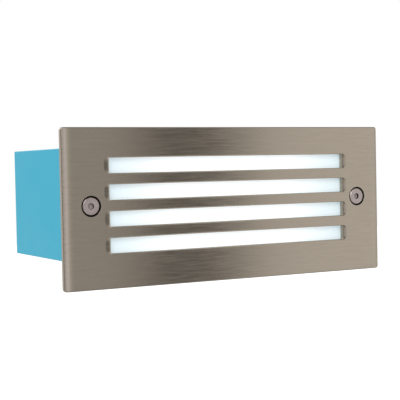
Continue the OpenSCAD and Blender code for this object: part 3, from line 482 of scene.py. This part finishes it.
# Faceplate
plate = {
    "width": 262, "height": 110, "corner": 2, "front": -4.6, "back": -1.4, "rim": 2.4, "innerCorner": 1.2,
    # the rim tones are edge marks: painted shade on the rounded rims, ring by ring
    "edgeRoundEnds": 0.5, "edgeRoundSides": 0.8, "rimShades": (0.0, 0.45, 0.65, 0.5, 0.2),
    "rollWidth": 8, "rollDrop": 1, "rollSteps": 10, "rollBehind": -2,
    "slots": 4, "slotLength": 194, "slotHeight": 10.4625, "slotCorner": 1.0, "slotPitch": 18.2125,
    "slotRound": 0.45, "slotRimShades": (0.3, 0.4, 0.2),
    "dishEnds": 3.8, "dishSides": 0.35, "dishCorner": 5.4, "dishDepth": 0.14, "dishPower": 1.4, "dishSteps": 7,
    "recess": 14.2, "recessDepth": 1.1, "seat": 12.35, "seatRing": 0.1, "hole": 6.6,
    "recessLip": ((0.3, 0, 0), (0.2, 0.03, 0.8), (0, 0.15, 0.8)),   # wider by, deep, edge mark of painted shade
    "screwPad": 17, "screwPadEnd": -0.3,
    "studX": 112.5, "studZ": 27.6, "middleZ": 2.8, "studPad": 8, "studPadEnd": 2.2,
    "stud": 4, "studCore": 3.3, "studEnd": 9.4, "studTip": 0.4, "studPitch": 0.7, "studLead": 0.1,
}


def plateEdge(bm, p):
    rings = []
    # each ring's tone is its share of painted rim shade
    for turn, tone in zip(arc(4), p["rimShades"]):
        grow = 1 - math.sin(turn)
        rings.append(ringRect(bm, p["width"] - 2 * p["edgeRoundEnds"] * grow,
                              p["height"] - 2 * p["edgeRoundSides"] * grow,
                              p["corner"] - p["edgeRoundSides"] * grow,
                              p["front"] + p["edgeRoundSides"] * (1 - math.cos(turn)), edge=tone))
    return rings + [ringRect(bm, p["width"], p["height"], p["corner"], 0)]


def slotWall(bm, p, z):
    # a shallow dish that the punch leaves, wide at the slot's ends, then the rounded rim and the wall
    at = {"z": z, "steps": 10}
    rings = []
    rimCorner = p["slotCorner"] + p["slotRound"]
    for j in range(p["dishSteps"] + 1):
        away = 1 - j / p["dishSteps"]
        rings.append(ringRect(bm, p["slotLength"] + 2 * (p["slotRound"] + p["dishEnds"] * away),
                              p["slotHeight"] + 2 * (p["slotRound"] + p["dishSides"] * away),
                              rimCorner + (p["dishCorner"] - rimCorner) * away,
                              p["front"] + p["dishDepth"] * (1 - away) ** p["dishPower"], **at))
    # the slot's rounded rim gets painted shade from these tones
    for turn, tone in zip(arc(3)[1:], p["slotRimShades"]):
        grow = p["slotRound"] * (1 - math.sin(turn))
        rings.append(ringRect(bm, p["slotLength"] + 2 * grow, p["slotHeight"] + 2 * grow,
                              p["slotCorner"] + grow,
                              p["front"] + p["dishDepth"] + p["slotRound"] * (1 - math.cos(turn)),
                              edge=tone, **at))
    return rings + [ringRect(bm, p["slotLength"], p["slotHeight"], p["slotCorner"], p["back"], **at)]


def screwSeat(bm, p, x):
    # lip, recess, seat, countersink, hole and the pad behind the plate: diameter, y, and the edge and gap
    # marks, which paint shade on the rims and in the recess
    front, recess = p["front"], p["recess"]
    seat = front + p["recessDepth"]
    neck = seat + (p["seat"] - p["hole"]) / 2
    steps = [(recess + wider, front + deep, edge, 0) for wider, deep, edge in p["recessLip"]]
    steps += [(recess, seat, 0.5, 0.45), (recess - p["seatRing"], seat, 1, 1), (p["seat"], seat, 1, 1),
              (p["hole"], neck, 0, 1), (p["hole"], p["screwPadEnd"], 0, 0.5),
              (p["screwPad"], p["screwPadEnd"], 0, 0), (p["screwPad"], p["back"], 0, 0)]
    return [ringRound(bm, size, y, x=x, z=screwZ, edge=edge, gap=gap) for size, y, edge, gap in steps]


def addStud(bm, p, x, z):
    pad, core, end = p["studPad"], p["studCore"], p["studEnd"]
    rings = [ringRound(bm, size, y, x=x, z=z, steps=32) for size, y in (
        (pad, p["back"]), (pad, p["studPadEnd"]), (core, p["studPadEnd"]), (core, end - p["studTip"]),
        (core - 2 * p["studTip"], end))]
    bridge(bm, *rings)
    fill(bm, rings[-1])
    coil(bm, x, z, p["studPadEnd"] - p["studLead"], end - p["studTip"] / 2, core / 2 - threadRoot,
         p["stud"] / 2, p["studPitch"])
    return rings[0]


def rollEnds(bm, p):
    # both ends fall back on a wide radius
    flat = p["width"] / 2 - p["rollWidth"]
    radius = (p["rollWidth"] ** 2 + p["rollDrop"] ** 2) / (2 * p["rollDrop"])
    for side in (-1, 1):
        for k in range(p["rollSteps"]):
            at = Vector((side * (flat + p["rollWidth"] * k / p["rollSteps"]) * mm, 0, 0))
            bmesh.ops.bisect_plane(bm, geom=bm.verts[:] + bm.edges[:] + bm.faces[:], dist=limits["cut"] * mm,
                                   plane_co=at, plane_no=(1, 0, 0))
    for v in bm.verts:
        past = abs(v.co.x) / mm - flat
        if past > 0 and v.co.y < p["rollBehind"] * mm:   # the back of the plate stays flat
            v.co.y += (radius - math.sqrt(radius ** 2 - past ** 2)) * mm


def makeFaceplate(p):
    bm = newMesh()
    outer = plateEdge(bm, p)
    pocket = [ringRect(bm, p["width"] - 2 * p["rim"], p["height"] - 2 * p["rim"], p["innerCorner"], y)
              for y in (0, p["back"])]
    bridge(bm, *outer, *pocket)
    face, floor = [outer[0]], [pocket[-1]]   # outlines of the front face and of the pocket's floor

    def addWall(rings):
        bridge(bm, *rings)
        face.append(rings[0])
        floor.append(rings[-1])

    for k in range(p["slots"]):
        addWall(slotWall(bm, p, screwZ + (k - (p["slots"] - 1) / 2) * p["slotPitch"]))
    for side in (-1, 1):
        addWall(screwSeat(bm, p, side * screwX))
        for up in (-1, 1):
            floor.append(addStud(bm, p, side * p["studX"], p["middleZ"] + up * p["studZ"]))
    fill(bm, *face)
    fill(bm, *floor)
    rollEnds(bm, p)
    finishPiece(bm, "slotted_faceplate", "front_unit", materials["brushed_face"], "faceplate",
                grainMap=True)


makeFaceplate(plate)
print("faceplate made")

# Face screws
faceScrew = {
    "headTop": -4.3, "headDiameter": 12, "chamfer": 0.25, "land": 0.3, "shank": 6, "core": 4.9, "tip": 25.7,
    "threadFrom": 6.6, "threadLead": 0.2, "threadPlay": 0.02, "pitch": 1, "runOut": 0.6, "tipTaper": 1,
    "socket": 4, "socketDepth": 2.5, "socketBevel": 0.5, "socketLip": 0.06, "bevelDepth": 0.18, "lipDepth": 0.2,
    "floorRing": 0.15, "drill": 3.5, "drillPoint": 0.6, "drillDepth": 0.4,
}


def makeFaceScrew(p, x, name, body, material, node):
    bm = newMesh()
    top, head, shank, core = p["headTop"], p["headDiameter"], p["shank"], p["core"]
    cone = top + p["chamfer"] + p["land"]
    neck = cone + (head - shank) / 2
    floor = top + p["socketDepth"] - p["drillDepth"]
    corner = p["socket"] / math.cos(math.pi / 6)   # across the hexagon's corners
    at = {"x": x, "z": screwZ}
    # diameter, y and gap mark: the bevel and the floor in the metal's own colour, the walls dark with painted
    # shade
    flats = [ringRound(bm, size, y, steps=6, gap=gap, **at) for size, y, gap in (
        (corner + p["socketBevel"], top, 0), (corner + p["socketLip"], top + p["bevelDepth"], 0),
        (corner, top + p["lipDepth"], 1), (corner, floor, 1), (corner - p["floorRing"], floor, 0))]
    drilled = [ringRound(bm, size, y, steps=24, **at) for size, y in (
        (p["drill"], floor), (p["drillPoint"], top + p["socketDepth"]))]
    # the gap marks paint a little shade at the chamfer's foot and full shade under the head
    outer = [ringRound(bm, size, y, gap=gap, **at) for size, y, gap in (
        (head - 2 * p["chamfer"], top, 0), (head, top + p["chamfer"], 0.1), (head, cone, 1), (shank, neck, 0),
        (shank, p["threadFrom"] - p["runOut"], 0), (core, p["threadFrom"], 0),
        (core, p["tip"] - p["runOut"], 0), (core - p["tipTaper"], p["tip"], 0))]
    for v in {v for ring in [flats[-1]] + drilled for e in ring for v in e.verts}:
        v[bm.verts.layers.float["dull"]] = 1.0
    for rings in (flats, drilled, outer):
        bridge(bm, *rings)
    fill(bm, flats[0], outer[0])
    fill(bm, flats[-1], drilled[0])
    fill(bm, drilled[-1])
    fill(bm, outer[-1])
    coil(bm, x, screwZ, p["threadFrom"] - p["threadLead"], p["tip"] - p["runOut"] / 2, core / 2 - threadRoot,
         shank / 2 - p["threadPlay"], p["pitch"])
    finishPiece(bm, name, body, material, node)


makeFaceScrew(faceScrew, -screwX, "left_socket_screw", "left_screw", materials["stainless_screw"],
              "left_face_screw")
makeFaceScrew(faceScrew, screwX, "right_socket_screw", "right_screw", rightScrewMaterial, "right_face_screw")
print("face screws made")


# Moulded and cast pieces: the node's own form with its sharp edges broken
softPieces = {   # node: piece, body, material slot, width of the broken edge
    "recess_box": ("moulded_box", "wall_box", "box_plastic", 0.2),
    "blanking_plug": ("moulded_plug", "wall_box", "plug_plastic", 0.3),
    "cable_grommet": ("moulded_grommet", "wall_box", "black_rubber", 0.4),
    "lamp_housing": ("cast_housing", "front_unit", "cast_housing", 0.3),
    "gear_cover": ("moulded_gear_cover", "front_unit", "dark_plastic", 0.4),
    "gland_cap": ("moulded_gland_cap", "front_unit", "dark_plastic", 0.3),
    "gland_body": ("moulded_gland_body", "front_unit", "dark_plastic", 0.25),
}


def softCopy(node, name, body, slot, width):
    bm = bmesh.new()
    bm.from_mesh(frame["nodes"][node].data)
    bmesh.ops.remove_doubles(bm, verts=bm.verts, dist=limits["nodeMerge"] * mm)
    bmesh.ops.dissolve_limit(bm, angle_limit=math.radians(limits["flat"]), use_dissolve_boundaries=False,
                             verts=bm.verts, edges=bm.edges, delimit=set())
    smoothFaces(bm, limits["softSharp"])
    piece = addPiece(bm, name, body, materials[slot], node)
    soft = piece.modifiers.new("Broken edges", "BEVEL")
    soft.width = width * mm
    soft.segments = 2
    soft.limit_method = "ANGLE"
    soft.angle_limit = math.radians(limits["softSharp"])
    soft.harden_normals = False
    evenShading(piece)


for node, (name, body, slot, width) in softPieces.items():
    softCopy(node, name, body, slot, width)
print("moulded pieces made:", len(softPieces))


# Camera, measured from the faceplate's corners, the slots, the screws and the box; metres and degrees
view = {"lens": 95.15, "place": (-0.38800, -0.66143, 0.02683), "turn": (88.20104, 1.18957, -28.80119)}
cameraData = bpy.data.cameras.new("camera")
cameraData.sensor_width = 36
cameraData.lens = view["lens"]
cameraData.clip_start = 0.01
camera = bpy.data.objects.new("camera", cameraData)
camera.location = view["place"]
camera.rotation_euler = [math.radians(a) for a in view["turn"]]
scene.collection.objects.link(camera)
scene.camera = camera

# Studio, in metres and watts
studio = {
    "floorZ": -0.32, "floorSize": 8, "floorTone": 0.86, "floorRough": 0.9,
    "shadowNear": 0.5, "shadowFar": 1.6, "glowNear": 0.2, "glowFar": 0.6,
    "fill": 0.62,
    "key": 26, "keyPlace": (-1.2, -1.5, 1.3), "keySize": 1.3,
    "rear": 10, "rearPlace": (-0.9, 1.6, 1.2), "rearSize": 1.2,
}
# what polished metal sees round the room, by the way to the right of the front in degrees: share of white,
# and how much bluer it is
roomTones = [
    (-180, 0.9), (-60, 0.68), (-10, 0.62), (-5, 0.63), (-2, 0.8, 1.08), (1.2, 1.14, 1.12), (3.6, 1.06, 1.08),
    (6.6, 0.84), (10.4, 0.68), (15, 0.6), (18.5, 0.57), (21, 0.55), (23.4, 0.6), (24.4, 0.7), (25.2, 0.74),
    (25.7, 0.26), (26.2, 0.05), (27, 0.06), (28.6, 0.13), (29.6, 0.1), (30.4, 0.1), (31, 0.42), (31.7, 0.86),
    (32.5, 0.96), (34, 0.92), (40, 0.93), (57, 0.96), (64, 0.78), (75, 0.6), (110, 0.75), (140, 0.8),
    (180, 0.9),
]


def seenPlainly(tree):
    # rays that come straight from the camera, or through something clear
    path = tree.nodes.new("ShaderNodeLightPath")
    seen = calc(tree, "MAXIMUM", path.outputs["Is Camera Ray"], path.outputs["Is Transmission Ray"])
    return seen, path.outputs["Is Glossy Ray"]


def makeWorld(p, tones):
    world = bpy.data.worlds.new("studio")
    world.use_nodes = True
    scene.world = world
    tree = world.node_tree
    tree.nodes.clear()
    around = tree.nodes.new("ShaderNodeTexCoord").outputs["Generated"]
    way = addNode(tree, "ShaderNodeSeparateXYZ", None, {0: around})
    turn = calc(tree, "ARCTAN2", way.outputs[0], calc(tree, "MULTIPLY", way.outputs[1], -1.0))
    ramp = addNode(tree, "ShaderNodeValToRGB", None, {"Fac": remap(tree, turn, -math.pi, math.pi, 0.0, 1.0)})
    stops = ramp.color_ramp.elements
    for k, (angle, tone, *bluer) in enumerate(tones):
        at = (angle + 180) / 360
        stop = stops[k] if k < 2 else stops.new(at)   # a new ramp has two stops
        stop.position = at
        stop.color = (tone, tone, tone * (bluer[0] if bluer else 1), 1)
    seen, glossy = seenPlainly(tree)
    white = (1, 1, 1, 1)
    fillLight, metalSees, backdrop = (
        addNode(tree, "ShaderNodeBackground", None, {"Color": colour, "Strength": strength}).outputs[0]
        for colour, strength in ((white, p["fill"]), (ramp.outputs["Color"], 1.0), (white, 1.0)))
    first = addNode(tree, "ShaderNodeMixShader", None, {0: glossy, 1: fillLight, 2: metalSees})
    second = addNode(tree, "ShaderNodeMixShader", None, {0: seen, 1: first.outputs[0], 2: backdrop})
    addNode(tree, "ShaderNodeOutputWorld", None, {0: second.outputs[0]})


def makeFloor(p):
    bm = bmesh.new()
    bmesh.ops.create_grid(bm, x_segments=1, y_segments=1, size=p["floorSize"] / 2,
                          matrix=Matrix.Translation((0, 0, p["floorZ"])))
    mesh = bpy.data.meshes.new("floor")
    bm.to_mesh(mesh)
    bm.free()
    material, tree, shader, vector = newMaterial("pale_floor")
    shader.inputs["Base Color"].default_value = (p["floorTone"], p["floorTone"], p["floorTone"], 1)
    shader.inputs["Roughness"].default_value = p["floorRough"]
    seen, glossy = seenPlainly(tree)
    away = addNode(tree, "ShaderNodeVectorMath", {"operation": "LENGTH"}, {0: vector}).outputs["Value"]
    # brighter far away, which keeps the shadow and hides the horizon
    level = remap(tree, away, p["shadowNear"], p["shadowFar"], p["glowNear"], p["glowFar"])
    glow = addNode(tree, "ShaderNodeEmission", None,
                   {"Color": (1, 1, 1, 1), "Strength": calc(tree, "MULTIPLY", seen, level)})
    both = addNode(tree, "ShaderNodeAddShader", None, {0: shader.outputs[0], 1: glow.outputs[0]})
    tree.links.new(both.outputs[0], tree.nodes["Material Output"].inputs["Surface"])
    mesh.materials.append(material)
    floor = bpy.data.objects.new("floor", mesh)
    floor.visible_glossy = False   # metal shows the room there too
    scene.collection.objects.link(floor)


def addLamp(name, power, place, size):
    data = bpy.data.lights.new(name, "AREA")
    data.energy = power
    data.size = size
    lamp = bpy.data.objects.new(name, data)
    lamp.location = place
    lamp.rotation_euler = (-Vector(place)).to_track_quat("-Z", "Y").to_euler()
    lamp.visible_camera = False
    scene.collection.objects.link(lamp)


makeWorld(studio, roomTones)
makeFloor(studio)
addLamp("key", studio["key"], studio["keyPlace"], studio["keySize"])
addLamp("rear", studio["rear"], studio["rearPlace"], studio["rearSize"])
scene.view_settings.view_transform = "Standard"
print("studio made")
